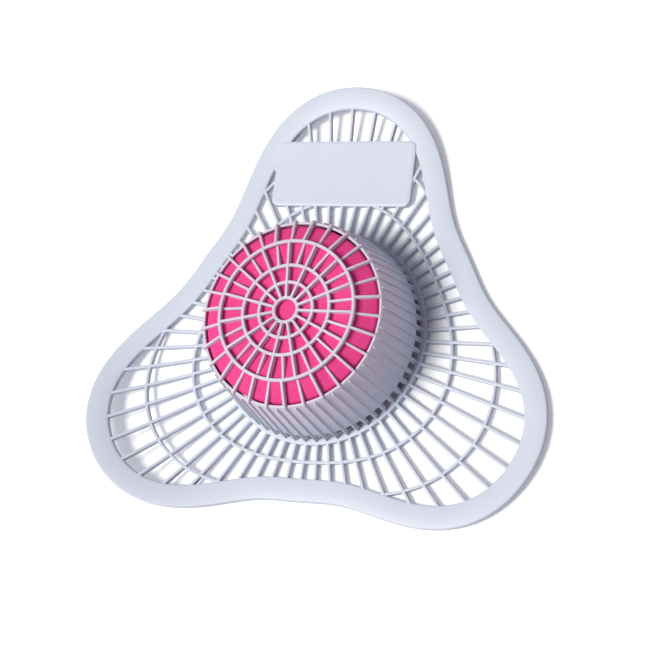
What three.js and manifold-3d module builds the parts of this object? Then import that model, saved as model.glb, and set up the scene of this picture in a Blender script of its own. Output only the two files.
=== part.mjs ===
// Urinal deodorizer screen: a soft three-lobed mat of fine ribs with a drum-shaped cage in its middle,
// all one moulding, and the scented block that the cage holds.
// Millimetres, +Z up. The mat lies on z = 0 and its label lobe points along +Y.
import * as THREE from "three";
import { mergeGeometries, mergeVertices } from "three/addons/utils/BufferGeometryUtils.js";
import Module from "manifold-3d";

// Outline of the mat: radius = mean + lobe cos 3a + blunt cos 6a - pinch cos 9a, a counted from a lobe's middle
const lobes = 3;
const outlineMean = 83.5;
const outlineLobe = 20;
const outlineBlunt = 1.3;
const outlinePinch = 1.1;

// Rim band and net of the mat: ribs joined by two rings that follow the lobes
const matThickness = 2.5;
const rimWidth = 9.2;
const ribCount = 60;
const ribWidth = 1.2;
const innerRingMean = 53.7;
const innerRingLobe = 3.6;
const outerRingMean = 69.7;
const outerRingLobe = 8.5;
const leastOpening = 0.4;

// How far the tip of each lobe stands off the floor, since the soft mat doesn't lie quite flat
const labelTipLift = 5.6;
const leftTipLift = 9;
const rightTipLift = 1.4;

// Blank label plate across the label lobe
const plateWidth = 62;
const plateDepth = 27;
const plateMiddle = 67.8;
const plateCorner = 4.5;
const plateProud = 0.4;
const plateThickness = 2.3;

// Scented block, and the clearances that the cage keeps round it
const blockRadius = 35;
const blockHeight = 29.4;
const blockRounding = 1.5;
const blockSides = 40;
const sideClearance = 0.5;
const topClearance = 0.4;
const restClearance = 0.3;

// Drum wall: a thin skin with upright ribs that stand proud of it, flaring out towards its foot
const skinThickness = 1;
const wallRibWidth = 0.6;
const wallRibProud = 0.8;
const wallFlare = 5.2;
const footBand = 0.9;
const windowHeight = 4.5;
const windowPostWidth = 2;

// Open top of the drum: rings joined by spokes, every second spoke reaching only the middle ring
const spokeCount = 30;
const spokeWidth = 1;
const spokeDepth = 2;
const shoulderWidth = 10;
const shoulderDrop = 4.4;
const skinBelowCorner = 1;
const hubRadius = 4.8;
const smallRingRadius = 10.9;
const middleRingRadius = 17.6;
const ringWidth = 1.2;
const ringDepth = 1.7;
const ringBelowSpoke = 0.15;

// Snap lugs under the block
const lugCount = 6;
const lugWidth = 2.4;
const lugReach = 2.5;
const lugTip = 1;

// Small overlap that joins neighbouring features of the moulding
const bite = 0.2;

const wasm = await Module();
wasm.setup();

const turn = 2 * Math.PI;
const labelAngle = turn / 4;
const ribAngle = turn / ribCount;
const spokeAngle = turn / spokeCount;
const polar = (radius, angle) => new THREE.Vector2(radius * Math.cos(angle), radius * Math.sin(angle));

// Closed solid of a geometry
function solid(geometry) {
  const bare = geometry.index ? geometry.toNonIndexed() : geometry.clone();
  bare.deleteAttribute("normal");
  bare.deleteAttribute("uv");
  const merged = mergeVertices(bare, 1e-4);
  const vertProperties = new Float32Array(merged.attributes.position.array);
  const corners = merged.index.array;
  const whole = [];
  for (let i = 0; i < corners.length; i += 3) {
    const [a, b, c] = corners.subarray(i, i + 3);
    if (a !== b && b !== c && c !== a) {
      whole.push(a, b, c);
    }
  }
  const triVerts = new Uint32Array(whole);
  return new wasm.Manifold(new wasm.Mesh({ numProp: 3, vertProperties, triVerts }));
}

// Geometry of a solid, with flat shading
function shown(body) {
  const mesh = body.getMesh();
  const geometry = new THREE.BufferGeometry();
  geometry.setAttribute("position", new THREE.BufferAttribute(new Float32Array(mesh.vertProperties), 3));
  geometry.setIndex(new THREE.BufferAttribute(new Uint32Array(mesh.triVerts), 1));
  const flat = geometry.toNonIndexed();
  flat.computeVertexNormals();
  return flat;
}

// Ring turned about the z axis from a closed outline of [radius, height] corners, listed anticlockwise
function revolve(corners, segments) {
  const outline = corners.map(([radius, height]) => new THREE.Vector2(radius, height));
  outline.push(outline[0].clone());
  return new THREE.LatheGeometry(outline, segments).rotateX(turn / 4);
}

// Upright blade of a closed outline of [radius, height] corners, centred on a ray at the given angle
function blade(corners, width, angle) {
  const outline = new THREE.Shape(corners.map(([radius, height]) => new THREE.Vector2(radius, height)));
  const geometry = new THREE.ExtrudeGeometry(outline, { depth: width, bevelEnabled: false });
  return geometry.translate(0, 0, -width / 2).rotateX(turn / 4).rotateZ(angle);
}

// Outer edge of the mat
function outerEdge(angle) {
  const a = lobes * (angle - labelAngle);
  const drawn = outlineMean + outlineLobe * Math.cos(a);
  return drawn + outlineBlunt * Math.cos(2 * a) - outlinePinch * Math.cos(3 * a);
}

// Inner edge of the rim: the outer edge moved inwards by the rim's width, found at the angle asked for
function rimEdge(angle) {
  let along = angle;
  let point;
  for (let step = 0; step < 12; step += 1) {
    const here = polar(outerEdge(along), along);
    const ahead = polar(outerEdge(along + 1e-3), along + 1e-3).sub(here).normalize();
    point = here.add(new THREE.Vector2(-ahead.y, ahead.x).multiplyScalar(rimWidth));
    const error = angle - Math.atan2(point.y, point.x);
    along += error - turn * Math.round(error / turn);
  }
  return point.length();
}

// Edges of the two rings, kept inside the rim where the outer one runs into it
const half = ribWidth / 2;
const innerRing = (angle) => innerRingMean + innerRingLobe * Math.cos(lobes * (angle - labelAngle));
const outerRing = (angle) => outerRingMean + outerRingLobe * Math.cos(lobes * (angle - labelAngle));

// Lines that run round the mat, from its central opening to its outer edge
const lines = [
  () => skinInside(0),
  () => footRingRadius,
  (angle) => innerRing(angle) - half,
  (angle) => innerRing(angle) + half,
  (angle) => Math.min(outerRing(angle) - half, rimEdge(angle)),
  (angle) => Math.min(outerRing(angle) + half, rimEdge(angle)),
  rimEdge,
  outerEdge,
];
const outermost = lines.length - 1;

// Point of the flat mat on one line round it and on one side of a rib: even sides come before the rib's middle
function matPoint(side, line) {
  const rib = labelAngle + Math.floor(side / 2) * ribAngle;
  const way = side % 2 ? 1 : -1;
  const offset = line === outermost ? ribAngle / 4 : Math.asin(half / lines[line](rib));
  const angle = rib + way * offset;
  return polar(lines[line](angle), angle);
}

// The mat is open between two ribs, from the foot ring outwards, wherever there is room beside the rings
function isOpen(side, line) {
  const openable = side % 2 === 1 && line % 2 === 1 && line < outermost - 1;
  const room = (at) => matPoint(at, line + 1).distanceTo(matPoint(at, line));
  return openable && Math.min(room(side), room(side + 1)) > leastOpening;
}

// Height by which the resting mat stands off the floor at a point
function lift(x, y) {
  const reach = (Math.hypot(x, y) - footRingRadius) / (outerEdge(labelAngle) - footRingRadius);
  if (reach <= 0) {
    return 0;
  }
  let total = 0;
  [labelTipLift, leftTipLift, rightTipLift].forEach((height, lobe) => {
    const off = Math.atan2(y, x) - labelAngle - (lobe * turn) / lobes;
    const apart = Math.abs(off - turn * Math.round(off / turn));
    if (apart < turn / lobes / 2) {
      total += height * Math.cos((apart * lobes) / 2) ** 2;
    }
  });
  return total * reach ** 2;
}

// Rim, net and foot ring as one lifted sheet, made of a patch for each step round and each step outwards
function net() {
  const sides = 2 * ribCount;
  const positions = [];
  const put = (side, line, height) => {
    const { x, y } = matPoint(side % sides, line);
    return [x, y, height + lift(x, y)];
  };
  const quad = (a, b, c, d) => positions.push(...a, ...b, ...c, ...a, ...c, ...d);
  const wall = (side, line, nextSide, nextLine) => {
    quad(
      put(side, line, 0),
      put(nextSide, nextLine, 0),
      put(nextSide, nextLine, matThickness),
      put(side, line, matThickness),
    );
  };
  for (let side = 0; side < sides; side += 1) {
    for (let line = 0; line < outermost; line += 1) {
      if (isOpen(side, line)) {
        wall(side, line, side + 1, line);
        wall(side + 1, line + 1, side, line + 1);
        wall(side, line + 1, side, line);
        wall(side + 1, line, side + 1, line + 1);
        continue;
      }
      for (const height of [0, matThickness]) {
        const ring = [put(side, line, height), put(side, line + 1, height)];
        ring.push(put(side + 1, line + 1, height), put(side + 1, line, height));
        quad(...(height ? ring : ring.reverse()));
      }
    }
    wall(side + 1, 0, side, 0);
    wall(side, outermost, side + 1, outermost);
  }
  const geometry = new THREE.BufferGeometry();
  geometry.setAttribute("position", new THREE.BufferAttribute(new Float32Array(positions), 3));
  return solid(geometry);
}

// Label plate with rounded corners, lifted with the mat
function plate() {
  const x = plateWidth / 2;
  const low = plateMiddle - plateDepth / 2;
  const high = plateMiddle + plateDepth / 2;
  const shape = new THREE.Shape();
  shape.moveTo(-x + plateCorner, low);
  shape.lineTo(x - plateCorner, low);
  shape.quadraticCurveTo(x, low, x, low + plateCorner);
  shape.lineTo(x, high - plateCorner);
  shape.quadraticCurveTo(x, high, x - plateCorner, high);
  shape.lineTo(-x + plateCorner, high);
  shape.quadraticCurveTo(-x, high, -x, high - plateCorner);
  shape.lineTo(-x, low + plateCorner);
  shape.quadraticCurveTo(-x, low, -x + plateCorner, low);
  const options = { depth: plateThickness, bevelEnabled: false, curveSegments: 4 };
  const base = matThickness + plateProud - plateThickness;
  const geometry = new THREE.ExtrudeGeometry(shape, options).translate(0, 0, base);
  const points = geometry.attributes.position;
  for (let i = 0; i < points.count; i += 1) {
    points.setZ(i, points.getZ(i) + lift(points.getX(i), points.getY(i)));
  }
  return solid(geometry);
}

// Sizes of the cage, worked out from the block and the clearances; heights count from the mat's top face
const cornerRadius = blockRadius + sideClearance + skinThickness + wallRibProud;
const footRadius = cornerRadius + wallFlare;
const footRingRadius = footRadius + footBand;
const largeRingRadius = cornerRadius - shoulderWidth;
const blockLow = windowHeight + restClearance;
const blockTop = blockLow + blockHeight;
const spokeUnder = blockTop + topClearance;
const topHeight = spokeUnder + spokeDepth;
const cornerHeight = topHeight - shoulderDrop;
const skinTop = cornerHeight - skinBelowCorner;
const slope = shoulderDrop / shoulderWidth;
const taper = wallFlare / cornerHeight;
const wallOutside = (height) => footRadius - taper * height;
const skinOutside = (height) => wallOutside(height) - wallRibProud;
const skinInside = (height) => skinOutside(height) - skinThickness;
const skinMiddle = (height) => skinOutside(height) - skinThickness / 2;

// Drum wall above the windows: skin and ribs drawn as one outline at the foot, then tapered as they rise
function wall() {
  const outside = [];
  const inside = [];
  for (let i = 0; i < ribCount; i += 1) {
    const angle = labelAngle + i * ribAngle;
    const edge = (radius, way) => polar(radius, angle + way * Math.asin(wallRibWidth / 2 / radius));
    outside.push(edge(skinOutside(0), -1), edge(wallOutside(0), -1), edge(wallOutside(0), 1));
    outside.push(edge(skinOutside(0), 1));
    inside.push(polar(skinInside(0), angle));
  }
  const outline = new THREE.Shape(outside);
  outline.holes.push(new THREE.Path(inside));
  const options = { depth: skinTop - windowHeight, bevelEnabled: false };
  const geometry = new THREE.ExtrudeGeometry(outline, options).translate(0, 0, windowHeight);
  const points = geometry.attributes.position;
  for (let i = 0; i < points.count; i += 1) {
    const radius = Math.hypot(points.getX(i), points.getY(i));
    const share = (radius - taper * points.getZ(i)) / radius;
    points.setXY(i, points.getX(i) * share, points.getY(i) * share);
  }
  return solid(geometry);
}

// Post of the skin between two windows
function windowPost(angle) {
  const high = windowHeight + bite;
  const corners = [
    [skinInside(0) + bite / 2, -bite],
    [skinOutside(0) - bite / 2, -bite],
    [skinOutside(high) - bite / 2, high],
    [skinInside(high) + bite / 2, high],
  ];
  return blade(corners, windowPostWidth, angle);
}

// Spoke: level out to the large ring, then sloping down to the corner of the wall
function spoke(inner, angle) {
  const end = skinMiddle(skinTop);
  const endUnder = spokeUnder - slope * (end - largeRingRadius);
  const corners = [
    [inner, spokeUnder],
    [largeRingRadius, spokeUnder],
    [end, endUnder],
    [cornerRadius - bite, endUnder - bite],
    [cornerRadius, cornerHeight],
    [largeRingRadius, topHeight],
    [inner, topHeight],
  ];
  return blade(corners, spokeWidth, angle);
}

// Ring of the drum's open top, with its corners inside the spokes
function topRing(radius, sides) {
  const high = topHeight - ringBelowSpoke;
  const low = high - ringDepth;
  const corners = [
    [radius - ringWidth / 2, low],
    [radius + ringWidth / 2, low],
    [radius + ringWidth / 2, high],
    [radius - ringWidth / 2, high],
  ];
  return solid(revolve(corners, sides).rotateZ(-spokeAngle / 2));
}

// Snap lug that reaches inwards under the block
function lug(angle) {
  const corners = [
    [skinMiddle(0), -bite],
    [skinMiddle(windowHeight), windowHeight],
    [blockRadius - lugReach, windowHeight],
    [blockRadius - lugReach, windowHeight - lugTip],
    [skinInside(0) - bite, 0],
    [skinInside(0) - bite, -bite],
  ];
  return blade(corners, lugWidth, angle);
}

// Cage on the mat's top face
function cage() {
  const posts = [];
  for (let i = 0; i < ribCount; i += 1) {
    posts.push(windowPost(labelAngle + i * ribAngle));
  }
  const spokes = [];
  for (let i = 0; i < spokeCount; i += 1) {
    const start = i % 2 ? middleRingRadius : hubRadius;
    spokes.push(spoke(start, labelAngle + (i + 0.5) * spokeAngle));
  }
  const lugs = [];
  for (let i = 0; i < lugCount; i += 1) {
    lugs.push(lug(labelAngle + (i * turn) / lugCount));
  }
  const features = [posts, spokes, lugs].map((each) => solid(mergeGeometries(each)));
  const rings = [
    topRing(hubRadius, spokeCount / 2),
    topRing(smallRingRadius, spokeCount / 2),
    topRing(middleRingRadius, spokeCount),
    topRing(largeRingRadius, spokeCount),
  ];
  return [...features, ...rings].reduce((whole, each) => whole.add(each), wall());
}

// Scented block: round, with a sloping shoulder that follows the spokes
function block() {
  const shoulder = blockTop - slope * (blockRadius - largeRingRadius);
  const soft = blockRounding;
  const profile = new THREE.Path();
  profile.moveTo(0, blockLow);
  profile.lineTo(blockRadius - soft, blockLow);
  profile.quadraticCurveTo(blockRadius, blockLow, blockRadius, blockLow + soft);
  profile.lineTo(blockRadius, shoulder - soft);
  profile.quadraticCurveTo(blockRadius, shoulder, blockRadius - soft, shoulder + slope * soft);
  profile.lineTo(largeRingRadius, blockTop);
  profile.lineTo(0, blockTop);
  return solid(new THREE.LatheGeometry(profile.getPoints(1), blockSides).rotateX(turn / 4));
}

const screenBody = net().add(plate()).add(cage().translate(0, 0, matThickness));
const blockBody = block().translate(0, 0, matThickness);

const softPlastic = new THREE.MeshStandardMaterial({ name: "soft_white_plastic", color: 0xe4e9f4, roughness: 0.5 });
const pressedScent = new THREE.MeshStandardMaterial({ name: "pink_deodorant_block", color: 0xee3c8c, roughness: 0.85 });

const screen = new THREE.Mesh(shown(screenBody), softPlastic);
screen.name = "screen";
const deodorizer = new THREE.Mesh(shown(blockBody), pressedScent);
deodorizer.name = "deodorizer_block";

// Origin under the middle of the whole part, on the floor
const bounds = new THREE.Box3().setFromObject(screen);
const middle = bounds.getCenter(new THREE.Vector3());
for (const mesh of [screen, deodorizer]) {
  mesh.geometry.translate(-middle.x, -middle.y, -bounds.min.z);
}

const part = new THREE.Group();
part.name = "urinal_deodorizer_screen";
part.add(screen, deodorizer);
export default part;
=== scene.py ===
"""Looks of the urinal deodorizer screen.

The fine moulding, the scented block, their finishes, the floor, the light and the camera.
"""

import math

import bmesh
import bpy
from mathutils import Matrix, Vector


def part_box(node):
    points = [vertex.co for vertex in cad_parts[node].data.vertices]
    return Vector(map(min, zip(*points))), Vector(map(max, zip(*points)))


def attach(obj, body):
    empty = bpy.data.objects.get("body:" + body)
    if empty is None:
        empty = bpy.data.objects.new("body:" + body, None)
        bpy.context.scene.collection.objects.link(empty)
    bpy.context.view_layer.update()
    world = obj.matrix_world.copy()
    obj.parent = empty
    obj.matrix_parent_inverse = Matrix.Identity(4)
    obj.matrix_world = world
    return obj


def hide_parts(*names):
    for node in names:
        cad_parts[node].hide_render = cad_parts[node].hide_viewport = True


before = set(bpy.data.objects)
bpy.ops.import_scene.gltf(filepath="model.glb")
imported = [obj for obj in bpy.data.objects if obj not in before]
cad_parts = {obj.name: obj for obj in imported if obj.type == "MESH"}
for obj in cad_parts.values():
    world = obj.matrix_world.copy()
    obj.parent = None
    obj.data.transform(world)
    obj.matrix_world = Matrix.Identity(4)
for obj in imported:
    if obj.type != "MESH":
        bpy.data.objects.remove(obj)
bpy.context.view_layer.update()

TURN = 2 * math.pi
MM = 0.001

# Sizes in millimetres, heights from the mat's top face, radii from the drum's axis
MAT = 2.5
LOBES = 3
OUTLINE = dict(mean=83.5, lobe=20, blunt=1.3, pinch=1.1)
EDGE_INSET = 0.1
RIM = 9.2
RIM_ROUNDING = 0.7
RIBS = 60
RIB_WIDTH = 1.2
RIB_DEPTH = MAT - 0.15
RIB_BELOW_MAT = 0.1
RIB_INTO_FOOT = 1
RIB_INTO_RIM = 2
INNER_RING = dict(mean=53.7, lobe=3.6)
OUTER_RING = dict(mean=69.7, lobe=8.5)
TIP_LIFT = dict(label=5.6, left=9, right=1.4)
BLOCK = 35
BLOCK_LOW = 4.8
BLOCK_TOP = 34.2
BLOCK_ROUNDING = 0.8
SKIN = 1
WALL_RIB = 0.55
WALL_PROUD = 0.8
CORNER = 37.3
CORNER_HEIGHT = 32.2
FOOT = 42.5
FOOT_RING = 43.4
WINDOW = 4.5
POST = 2
SKIN_TOP = 31.2
TOP = 36.6
SPOKES = 30
SPOKE = 1
SPOKE_DEPTH = 2
TOP_RINGS = dict(hub=4.8, small=10.9, middle=17.6, large=27.3)
TOP_RING_WIDTH = 1.2
RING_DEPTH = 1.7
RING_BELOW_SPOKE = 0.15
SLOPE = (TOP - CORNER_HEIGHT) / (CORNER - TOP_RINGS["large"])
PLATE = dict(width=60, depth=27, middle=67.8, aside=1, thick=2.3, proud=0.4, corner=3)
PLATE_STRIP = 3
LUGS = 6
LUG_WIDTH = 2.4
LUG_REACH = 2.5
LUG_TIP = 1
BITE = 0.2
SOFT_EDGE = 0.2
DRUM_Y = sum(corner[1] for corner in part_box("deodorizer_block")) / 2 / MM


# Shader arithmetic

class Value:
    """A shader socket that Python arithmetic can combine with others."""

    def __init__(self, tree, socket):
        self.tree = tree
        self.socket = socket

    def math(self, operation, other):
        node = self.tree.nodes.new("ShaderNodeMath")
        node.operation = operation
        for slot, item in enumerate((self, other)):
            if isinstance(item, Value):
                self.tree.links.new(item.socket, node.inputs[slot])
            else:
                node.inputs[slot].default_value = item
        return Value(self.tree, node.outputs[0])

    def __add__(self, other):
        return self.math("ADD", other)

    def __mul__(self, other):
        return self.math("MULTIPLY", other)

    def to(self, socket):
        self.tree.links.new(self.socket, socket)


def node(tree, kind, inputs=None, out=0, **settings):
    """Adds one shader node and returns one of its outputs as a Value."""
    made = tree.nodes.new(kind)
    for key, value in settings.items():
        setattr(made, key, value)
    for key, value in (inputs or {}).items():
        if isinstance(value, Value):
            value.to(made.inputs[key])
        else:
            made.inputs[key].default_value = value
    return Value(tree, made.outputs[out])


def surface(name, colour, roughness, specular):
    """A new material with its plain settings made, and its Principled node."""
    material = bpy.data.materials.new(name)
    material.use_nodes = True
    shader = material.node_tree.nodes["Principled BSDF"]
    shader.inputs["Base Color"].default_value = (*colour, 1)
    shader.inputs["Roughness"].default_value = roughness
    shader.inputs["Specular IOR Level"].default_value = specular
    return material, shader


def grain(tree, scale, detail=2.0):
    """Fine noise from 0 to 1, fixed to the object."""
    place = node(tree, "ShaderNodeTexCoord", out="Object")
    return node(tree, "ShaderNodeTexNoise", {"Vector": place, "Scale": scale, "Detail": detail})


def ramp(tree, value, low, high):
    """Share that rises from 0 to 1 as a value goes from low to high."""
    inputs = {"Value": value, "From Min": low, "From Max": high}
    return node(tree, "ShaderNodeMapRange", inputs, out="Result")


def tint(tree, low, high, share):
    """Colour between two colours by a share from 0 to 1; the first may come from another node."""
    first = low if isinstance(low, Value) else (*low, 1)
    inputs = {"Factor": share, "A": first, "B": (*high, 1)}
    return node(tree, "ShaderNodeMix", inputs, out="Result", data_type="RGBA")


def roughen(tree, shader, height, strength, distance):
    """Fine relief from a height."""
    inputs = {"Height": height, "Strength": strength, "Distance": distance}
    node(tree, "ShaderNodeBump", inputs, out="Normal").to(shader.inputs["Normal"])


def soft_plastic():
    """Milky plastic whose colour is painted pinker from 11 to 24 mm above the floor, where the drum stands:
    a painted pink glow standing in for the block's light shining through the plastic.
    """
    material, shader = surface("soft_white_plastic", (0.66, 0.70, 0.80), 0.42, 0.4)
    tree = material.node_tree
    cloud = grain(tree, 60, 3)
    fine = grain(tree, 1400, 2)
    white = tint(tree, (0.65, 0.69, 0.785), (0.685, 0.72, 0.81), cloud)
    place = node(tree, "ShaderNodeTexCoord", out="Object")
    height = node(tree, "ShaderNodeSeparateXYZ", {"Vector": place}, out="Z")
    # painted light: the plastic turns pinker with height, a painted glow from the pink block behind it
    pink_glow_share = ramp(tree, height, 0.011, 0.024)
    tint(tree, white, (0.73, 0.655, 0.76), pink_glow_share).to(shader.inputs["Base Color"])
    (cloud * 0.12 + 0.36).to(shader.inputs["Roughness"])
    roughen(tree, shader, fine, 0.12, 0.0002)
    return material


def pressed_block():
    """Dry pressed block with visible grains."""
    material, shader = surface("pink_deodorant_block", (0.86, 0.06, 0.27), 0.8, 0.25)
    tree = material.node_tree
    grains = grain(tree, 900, 4)
    patches = grain(tree, 90, 3)
    mottle = grains * 0.7 + patches * 0.3
    tint(tree, (0.76, 0.03, 0.22), (0.94, 0.09, 0.33), mottle).to(shader.inputs["Base Color"])
    (grains * 0.3 + 0.6).to(shader.inputs["Roughness"])
    roughen(tree, shader, grains + patches * 1.5, 0.5, 0.0006)
    return material


# Forms

def wave(size, angle):
    """Radius of a net ring at an angle counted from the label lobe."""
    return size["mean"] + size["lobe"] * math.cos(LOBES * angle)


def outer_edge(angle):
    """Outline radius at an angle counted from the label lobe."""
    a = LOBES * angle
    drawn = OUTLINE["mean"] + OUTLINE["lobe"] * math.cos(a)
    return drawn + OUTLINE["blunt"] * math.cos(2 * a) - OUTLINE["pinch"] * math.cos(3 * a)


def edge_point(angle, inwards):
    """Point at a distance inside the outline, measured square to it."""
    here = Vector((outer_edge(angle) * math.cos(angle), outer_edge(angle) * math.sin(angle)))
    step = angle + 1e-4
    ahead = Vector((outer_edge(step) * math.cos(step), outer_edge(step) * math.sin(step))) - here
    ahead.normalize()
    return here + Vector((-ahead.y, ahead.x)) * inwards


def rim_edge(angle):
    """Radius of the rim's inner edge at an angle."""
    along = angle
    for _ in range(12):
        point = edge_point(along, RIM)
        along += math.remainder(angle - math.atan2(point.y, point.x), TURN)
    return point.length


def lift(x, y):
    """Height by which the mat stands off the floor."""
    reach = (math.hypot(x, y) - FOOT_RING) / (outer_edge(0) - FOOT_RING)
    if reach <= 0:
        return 0
    total = 0
    for index, height in enumerate(TIP_LIFT.values()):
        apart = abs(math.remainder(math.atan2(y, x) - index * TURN / LOBES, TURN))
        if apart < TURN / LOBES / 2:
            total += height * math.cos(apart * LOBES / 2) ** 2
    return total * reach**2


def wall(height):
    """Radius of the wall ribs' outer edge at a height above the mat."""
    return FOOT - (FOOT - CORNER) / CORNER_HEIGHT * height


def part_mesh(build):
    """Mesh of one feature, built by the function given."""
    bm = bmesh.new()
    build(bm)
    bmesh.ops.recalc_face_normals(bm, faces=bm.faces)
    mesh = bpy.data.meshes.new("feature")
    bm.to_mesh(mesh)
    bm.free()
    return mesh


def stamp(bm, mesh, matrix=Matrix.Identity(4)):
    """Adds a feature's mesh to the moulding at a place."""
    first = len(bm.verts)
    bm.from_mesh(mesh)
    bm.verts.ensure_lookup_table()
    bmesh.ops.transform(bm, matrix=matrix, verts=bm.verts[first:])


def turned(angle):
    return Matrix.Rotation(angle, 4, "Z")


def new_verts(geometry):
    return [item for item in geometry if isinstance(item, bmesh.types.BMVert)]


def cut_across(bm, place, way):
    """Cuts a feature by a plane, so that it can bend there."""
    bmesh.ops.bisect_plane(bm, geom=[*bm.verts, *bm.edges, *bm.faces], plane_co=place, plane_no=way)


def soften(bm, edges, size, steps=2):
    bmesh.ops.bevel(bm, geom=edges, offset=size, segments=steps, profile=0.5, affect="EDGES", material=-1)


def soften_corners(bm, verts, size, steps):
    bmesh.ops.bevel(
        bm, geom=list(verts), offset=size, segments=steps, profile=0.5, affect="VERTICES", material=-1
    )


def profile_face(bm, corners):
    """Upright face over the x axis from [radius, height] corners."""
    verts = [bm.verts.new((radius, 0, height)) for radius, height in corners]
    return bmesh.ops.contextual_create(bm, geom=verts)["faces"][0]


def revolve(corners, steps, rounding=0.0):
    """Ring spun about the drum's axis."""

    def build(bm):
        face = profile_face(bm, corners)
        if rounding:
            soften_corners(bm, face.verts, rounding, 3)
        bmesh.ops.delete(bm, geom=list(bm.faces), context="FACES_ONLY")
        loop = list(bm.verts) + list(bm.edges)
        bmesh.ops.spin(bm, geom=loop, axis=(0, 0, 1), angle=TURN, steps=steps, use_merge=True)

    return part_mesh(build)


def blade(corners, width, rounding):
    """Upright plate over the x axis, with softened edges."""

    def build(bm):
        face = profile_face(bm, corners)
        side = bmesh.ops.extrude_face_region(bm, geom=[face])["geom"]
        bmesh.ops.translate(bm, vec=(0, width, 0), verts=new_verts(side))
        bmesh.ops.translate(bm, vec=(0, -width / 2, 0), verts=bm.verts)
        bmesh.ops.recalc_face_normals(bm, faces=bm.faces)
        soften(bm, list(bm.edges), rounding)

    return part_mesh(build)


def net_rib():
    """Rib of the net over the x axis, one long, cut across so that it can bend."""

    def build(bm):
        bmesh.ops.create_cube(bm, size=1)
        bmesh.ops.translate(bm, vec=(0.5, 0, -0.5), verts=bm.verts)
        bmesh.ops.scale(bm, vec=(1, RIB_WIDTH, RIB_DEPTH), verts=bm.verts)
        along = [e for e in bm.edges if abs(e.verts[0].co.x - e.verts[1].co.x) > 0.5]
        soften(bm, along, 0.22)
        for cut in range(1, 8):
            cut_across(bm, (cut / 8, 0, 0), (1, 0, 0))

    return part_mesh(build)


def rim():
    """Flat band that follows the three-lobed outline."""

    def build(bm):
        bmesh.ops.create_circle(bm, radius=1, segments=432)
        outer = list(bm.verts)
        angles = [math.atan2(v.co.y, v.co.x) for v in outer]
        band = bmesh.ops.extrude_edge_only(bm, edges=list(bm.edges))["geom"]
        for v in new_verts(band):
            v.co = (*edge_point(math.atan2(v.co.y, v.co.x), RIM), MAT)
        for v, angle in zip(outer, angles):
            v.co = (*edge_point(angle, EDGE_INSET), MAT)
        top = bmesh.ops.extrude_face_region(bm, geom=list(bm.faces))["geom"]
        bmesh.ops.translate(bm, vec=(0, 0, -MAT), verts=new_verts(top))
        bmesh.ops.recalc_face_normals(bm, faces=bm.faces)
        sharp = [e for e in bm.edges if e.calc_face_angle(0) > 1]
        soften(bm, sharp, RIM_ROUNDING, 3)

    return part_mesh(build)


def wavy_ring(size):
    """Thin ring that follows the lobes."""

    def build(bm):
        half = RIB_WIDTH / 2
        radius = size["mean"]
        low, high = 0.1, MAT - 0.25
        corners = [(radius - half, low), (radius + half, low), (radius + half, high), (radius - half, high)]
        bm.from_mesh(revolve(corners, 360, SOFT_EDGE))
        for v in bm.verts:
            angle = math.atan2(v.co.y, v.co.x)
            flat = math.hypot(v.co.x, v.co.y)
            wanted = flat - radius + wave(size, angle)
            v.co = (wanted * math.cos(angle), wanted * math.sin(angle), v.co.z)

    return part_mesh(build)


def plate():
    """Blank label plate with rounded corners, cut into strips so that it can bend."""

    def build(bm):
        middle = PLATE["middle"]
        bmesh.ops.create_grid(bm, x_segments=1, y_segments=1, size=0.5)
        bmesh.ops.scale(bm, vec=(PLATE["depth"], PLATE["width"], 1), verts=bm.verts)
        bmesh.ops.translate(bm, vec=(middle, PLATE["aside"], MAT + PLATE["proud"]), verts=bm.verts)
        soften_corners(bm, bm.verts, PLATE["corner"], 6)
        side = bmesh.ops.extrude_face_region(bm, geom=list(bm.faces))["geom"]
        bmesh.ops.translate(bm, vec=(0, 0, -PLATE["thick"]), verts=new_verts(side))
        bmesh.ops.recalc_face_normals(bm, faces=bm.faces)
        soften(bm, [e for e in bm.edges if e.calc_face_angle(0) > 1], 0.35, 2)
        for cut in range(-10, 11):
            cut_across(bm, (0, cut * PLATE_STRIP, 0), (0, 1, 0))
        for cut in range(-4, 5):
            cut_across(bm, (middle + cut * PLATE_STRIP, 0, 0), (1, 0, 0))

    return part_mesh(build)


def skin_outside(height):
    """Outer radius of the drum's skin, behind its ribs."""
    return wall(height) - WALL_PROUD


def skin_inside(height):
    return wall(height) - WALL_PROUD - SKIN


def skin_middle(height):
    return wall(height) - WALL_PROUD - SKIN / 2


def skin():
    """Thin wall of the drum above its windows."""
    low, high = WINDOW, SKIN_TOP
    corners = [(skin_inside(low), low), (skin_outside(low), low)]
    corners += [(skin_outside(high), high), (skin_inside(high), high)]
    return revolve(corners, 240, 0.25)


def window_post():
    """Post of the skin between two windows."""
    low, high = -BITE, WINDOW + 0.6
    corners = [
        (skin_inside(low) + 0.05, low),
        (skin_outside(low) - 0.05, low),
        (skin_outside(high) - 0.05, high),
        (skin_inside(high) + 0.05, high),
    ]
    return blade(corners, POST, SOFT_EDGE)


def spoke(inner):
    """Spoke from a radius out to the large ring, then sloping down to the wall's top corner."""
    large = TOP_RINGS["large"]
    under = TOP - SPOKE_DEPTH
    end = skin_middle(SKIN_TOP)
    end_under = under - SLOPE * (end - large)
    corners = [
        (inner, under),
        (large, under),
        (end, end_under),
        (CORNER - BITE, end_under - BITE),
        (CORNER, CORNER_HEIGHT),
        (large, TOP),
        (inner, TOP),
    ]
    return blade(corners, SPOKE, 0.22)


def wall_rib(top):
    corners = [(skin_middle(0), -0.3), (wall(0), -0.3), (wall(top), top), (skin_middle(top), top)]
    return blade(corners, WALL_RIB, 0.15)


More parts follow.
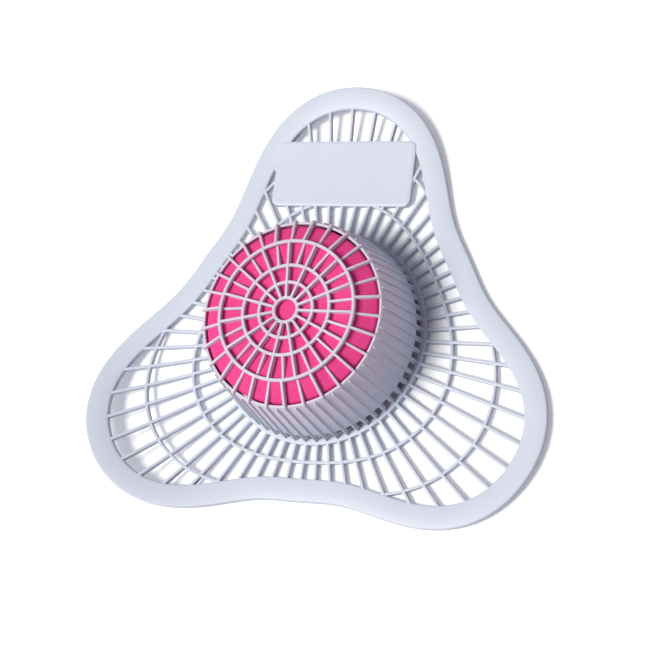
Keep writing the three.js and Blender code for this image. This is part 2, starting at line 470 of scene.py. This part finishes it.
def lug():
    """Lug that reaches inwards under the block."""
    corners = [
        (skin_middle(0), -BITE),
        (skin_middle(WINDOW), WINDOW),
        (BLOCK - LUG_REACH, WINDOW),
        (BLOCK - LUG_REACH, WINDOW - LUG_TIP),
        (skin_inside(0) - BITE, 0),
        (skin_inside(0) - BITE, -BITE),
    ]
    return blade(corners, LUG_WIDTH, SOFT_EDGE)


def top_ring(radius):
    """Ring that joins the spokes."""
    half = TOP_RING_WIDTH / 2
    high = TOP - RING_BELOW_SPOKE
    low = high - RING_DEPTH
    corners = [(radius - half, low), (radius + half, low), (radius + half, high), (radius - half, high)]
    return revolve(corners, 180, SOFT_EDGE)


def finished(bm, name, material):
    """Turns a moulding in millimetres with its label lobe along x into a piece in the part's frame."""
    bmesh.ops.transform(bm, matrix=Matrix.Translation((0, DRUM_Y, 0)) @ turned(TURN / 4), verts=bm.verts)
    bmesh.ops.scale(bm, vec=(MM, MM, MM), verts=bm.verts)
    mesh = bpy.data.meshes.new(name)
    bm.to_mesh(mesh)
    bm.free()
    mesh.materials.append(material)
    mesh.shade_smooth()
    mesh.set_sharp_from_angle(angle=math.radians(40))
    piece = bpy.data.objects.new(name, mesh)
    bpy.context.scene.collection.objects.link(piece)
    return piece


def stamp_mat(bm):
    """Rim, net and plate, lifted off the floor with the lobes."""
    stamp(bm, rim())
    rib = net_rib()
    for index in range(RIBS):
        angle = index * TURN / RIBS
        start = FOOT_RING - RIB_INTO_FOOT
        length = rim_edge(angle) + RIB_INTO_RIM - start
        place = Matrix.Translation((start, 0, MAT - RIB_BELOW_MAT)) @ Matrix.Diagonal((length, 1, 1, 1))
        stamp(bm, rib, turned(angle) @ place)
    stamp(bm, wavy_ring(INNER_RING))
    stamp(bm, wavy_ring(OUTER_RING))
    stamp(bm, plate())
    for v in bm.verts:
        v.co.z += lift(v.co.x, v.co.y)


def stamp_drum(bm):
    """Foot ring, wall, open top and lugs, which stand on the mat's top face."""
    foot = [(skin_inside(0), 0), (FOOT_RING, 0), (FOOT_RING, MAT), (skin_inside(0), MAT)]
    stamp(bm, revolve(foot, 240, 0.3))
    on_mat = Matrix.Translation((0, 0, MAT))
    stamp(bm, skin(), on_mat)
    post = window_post()
    whole_spoke, part_spoke = spoke(TOP_RINGS["hub"]), spoke(TOP_RINGS["middle"])
    low_rib, high_rib = wall_rib(SKIN_TOP - 0.5), wall_rib(CORNER_HEIGHT - 0.4)
    for index in range(RIBS):
        place = on_mat @ turned(index * TURN / RIBS)
        stamp(bm, high_rib if index % 2 else low_rib, place)
        stamp(bm, post, place)
    for index in range(SPOKES):
        angle = (index + 0.5) * TURN / SPOKES
        stamp(bm, part_spoke if index % 2 else whole_spoke, on_mat @ turned(angle))
    hook = lug()
    for index in range(LUGS):
        stamp(bm, hook, on_mat @ turned(index * TURN / LUGS))
    for radius in TOP_RINGS.values():
        stamp(bm, top_ring(radius), on_mat)


def make_screen():
    bm = bmesh.new()
    stamp_mat(bm)
    stamp_drum(bm)
    return finished(bm, "moulded_screen", soft_plastic())


def make_block():
    bm = bmesh.new()
    large = TOP_RINGS["large"]
    shoulder = BLOCK_TOP - SLOPE * (BLOCK - large)
    corners = [(0, BLOCK_LOW), (BLOCK, BLOCK_LOW), (BLOCK, shoulder), (large, BLOCK_TOP), (0, BLOCK_TOP)]
    face = profile_face(bm, corners)
    away_from_axis = [v for v in face.verts if v.co.x > 1]
    soften_corners(bm, away_from_axis, BLOCK_ROUNDING, 5)
    bmesh.ops.delete(bm, geom=list(bm.faces), context="FACES_ONLY")
    axis = [e for e in bm.edges if max(v.co.x for v in e.verts) < 1e-6]
    bmesh.ops.delete(bm, geom=axis, context="EDGES")
    line = list(bm.verts) + list(bm.edges)
    bmesh.ops.spin(bm, geom=line, axis=(0, 0, 1), angle=TURN, steps=144, use_merge=True)
    bmesh.ops.remove_doubles(bm, verts=bm.verts, dist=1e-3)
    bmesh.ops.recalc_face_normals(bm, faces=bm.faces)
    bmesh.ops.translate(bm, vec=(0, 0, MAT), verts=bm.verts)
    return finished(bm, "scented_block", pressed_block())


screen = make_screen()
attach(screen, "root")
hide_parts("screen")
block = make_block()
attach(block, "root")
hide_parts("deodorizer_block")


# Floor, light and camera

def make_floor():
    """White floor; its glow, which only the camera sees outside the drum, keeps the shadows light."""
    bm = bmesh.new()
    bmesh.ops.create_grid(bm, x_segments=1, y_segments=1, size=6)
    mesh = bpy.data.meshes.new("floor")
    bm.to_mesh(mesh)
    bm.free()
    floor = bpy.data.objects.new("floor", mesh)
    bpy.context.scene.collection.objects.link(floor)
    material, shader = surface("white_paper", (0.8, 0.8, 0.8), 0.9, 0.0)
    tree = material.node_tree
    seen = node(tree, "ShaderNodeLightPath", out="Is Camera Ray")
    tint(tree, (0.75, 0.76, 0.8), (1, 1, 1), seen).to(shader.inputs["Base Color"])
    place = node(tree, "ShaderNodeTexCoord", out="Object")
    ends = {0: place, 1: (0, DRUM_Y * MM, 0)}
    away = node(tree, "ShaderNodeVectorMath", ends, out="Value", operation="DISTANCE")
    outside = ramp(tree, away, 0.042, 0.06)
    tint(tree, (0, 0, 0), (1, 1, 1), seen * outside).to(shader.inputs["Emission Color"])
    shader.inputs["Emission Strength"].default_value = 0.22
    mesh.materials.append(material)
    return floor


floor = make_floor()
floor.location = (0, 0, -0.0002)

world = bpy.data.worlds.new("studio")
world.use_nodes = True
world.node_tree.nodes["Background"].inputs["Color"].default_value = (0.84, 0.81, 1.0, 1)
world.node_tree.nodes["Background"].inputs["Strength"].default_value = 0.25
bpy.context.scene.world = world

lamp = bpy.data.lights.new("window", "SUN")
lamp.energy = 2.9
lamp.angle = math.radians(25)
lamp.color = (1, 1, 0.96)
sun = bpy.data.objects.new("window", lamp)
light_way = Vector((0.395, 0.254, -0.883))
sun.rotation_euler = light_way.to_track_quat("-Z", "Y").to_euler()
bpy.context.scene.collection.objects.link(sun)


def make_camera():
    """Camera placed as the photograph was taken: direction, roll and distance to the aimed point."""
    azimuth, elevation, roll = (math.radians(a) for a in (-31.998, 61.683, -52.515))
    flat = math.cos(elevation)
    back = Vector((flat * math.cos(azimuth), flat * math.sin(azimuth), math.sin(elevation)))
    level = Vector((0, 0, 1)).cross(back).normalized()
    rise = back.cross(level)
    right = level * math.cos(roll) + rise * math.sin(roll)
    up = rise * math.cos(roll) - level * math.sin(roll)
    aim = Vector((0.57, DRUM_Y + 4.9, MAT)) * MM
    distance = 0.71764
    data = bpy.data.cameras.new("camera")
    data.sensor_width = 36
    data.lens = 101.35
    data.clip_start = 0.01
    camera = bpy.data.objects.new("camera", data)
    place = aim + back * distance
    camera.matrix_world = Matrix.Translation(place) @ Matrix((right, up, back)).transposed().to_4x4()
    bpy.context.scene.collection.objects.link(camera)
    bpy.context.scene.camera = camera


make_camera()
bpy.context.scene.view_settings.view_transform = "Standard"
